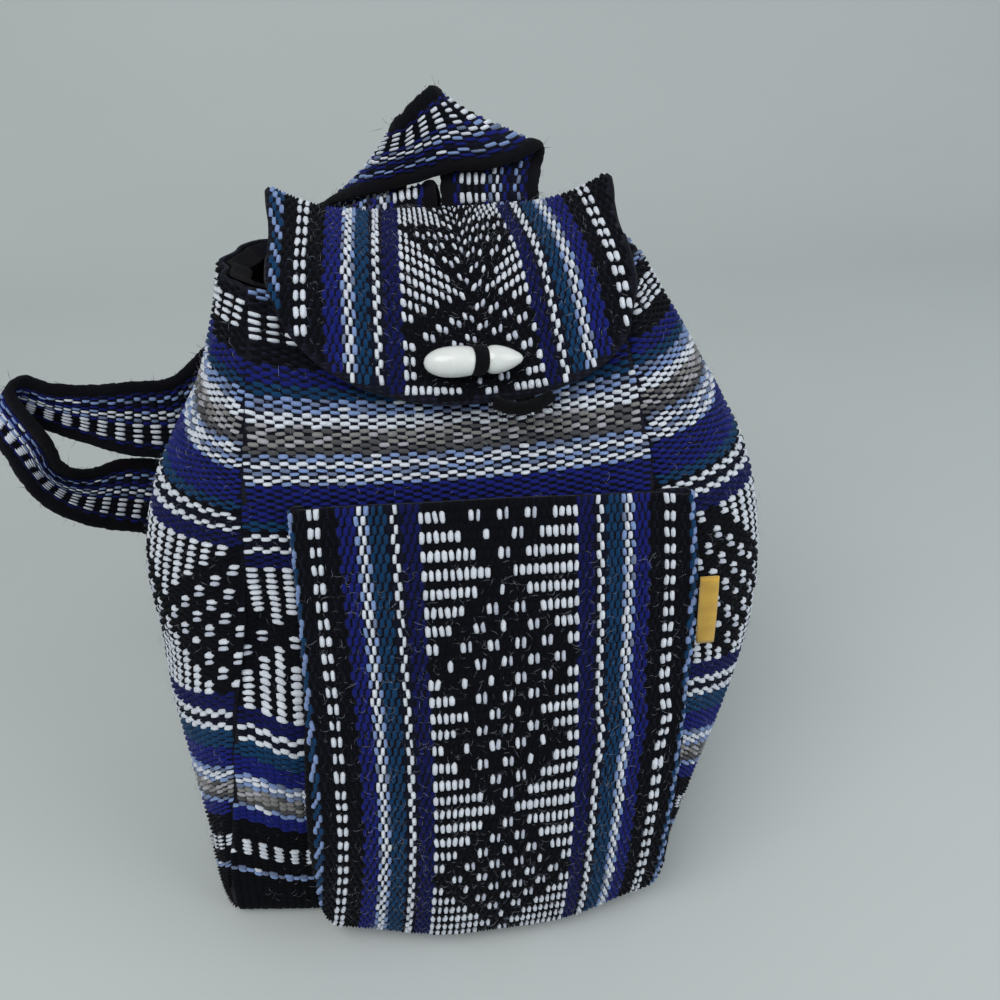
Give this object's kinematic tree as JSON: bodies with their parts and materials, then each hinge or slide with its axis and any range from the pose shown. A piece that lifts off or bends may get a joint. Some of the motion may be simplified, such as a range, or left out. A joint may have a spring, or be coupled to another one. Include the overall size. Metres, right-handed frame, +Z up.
{
  "type": "drawstring backpack",
  "caption": "Small handwoven drawstring backpack: striped cloth body, puffed patch pocket, flap closed by a spindle toggle, drawn mouth and bound shoulder straps.",
  "frame": {"origin": "middle of the underside of the base cloth", "axes": "+Z up through the mouth, -Y towards the pocket and the flap's front edge, +X to the viewer's right when facing the pocket"},
  "size_m": [0.2799, 0.1561, 0.2834],
  "materials": {
    "striped_cloth": "matte",
    "black_tape": "matte",
    "black_cord": "matte",
    "toggle_paint": "satin",
    "tab_cloth": "matte"
  },
  "bodies": {
    "root": {"front_panel": "striped_cloth", "back_panel": "striped_cloth", "left_gusset": "striped_cloth", "right_gusset": "striped_cloth", "base_panel": "striped_cloth", "front_pocket": "striped_cloth", "flap": "striped_cloth", "strap_left": "striped_cloth", "strap_right": "striped_cloth", "mouth_facing": "black_tape", "strap_left_edge_a": "black_tape", "strap_left_edge_b": "black_tape", "strap_right_edge_a": "black_tape", "strap_right_edge_b": "black_tape", "drawstring": "black_cord", "toggle_cord": "black_cord", "toggle": "toggle_paint", "side_tab": "tab_cloth"}
  },
  "joints": []
}
